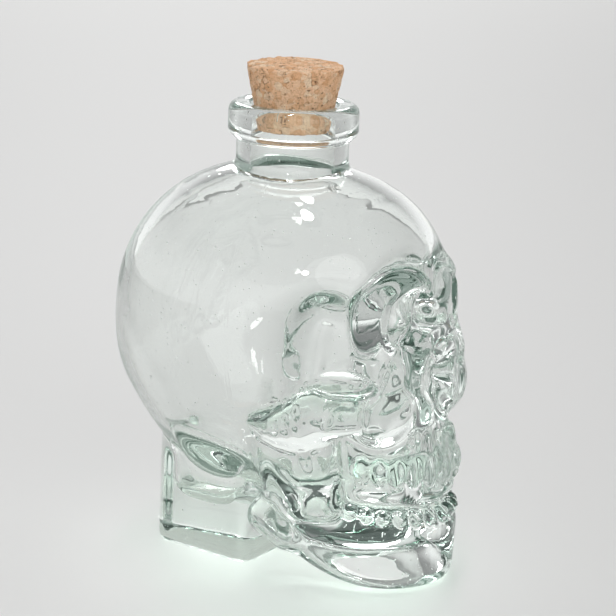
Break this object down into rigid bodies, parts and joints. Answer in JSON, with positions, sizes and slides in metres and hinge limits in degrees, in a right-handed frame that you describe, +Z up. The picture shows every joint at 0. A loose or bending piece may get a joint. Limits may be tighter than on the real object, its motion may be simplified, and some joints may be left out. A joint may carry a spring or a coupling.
{
  "type": "skull decanter with a cork",
  "caption": "Clear glass bottle moulded in the form of a human skull, with a short lipped neck at the crown closed by a tapered cork.",
  "frame": {"origin": "middle of the bottle's box in plan, on the plane that the bottle stands on", "axes": "-Y is the way the face looks, +Z is up along the neck, and X runs from side to side"},
  "size_m": [0.0708, 0.0918, 0.1235],
  "materials": {
    "clear_glass": "clear, fire-polished",
    "cork": "agglomerated cork, matt"
  },
  "bodies": {
    "bottle": {"skull_bottle": "clear_glass"},
    "cork": {"cork_stopper": "cork"}
  },
  "joints": [
    {"name": "cork_pull", "type": "slide", "parent": "bottle", "child": "cork", "axis": [0, 0, 1], "range_m": [0, 0.03]}
  ]
}
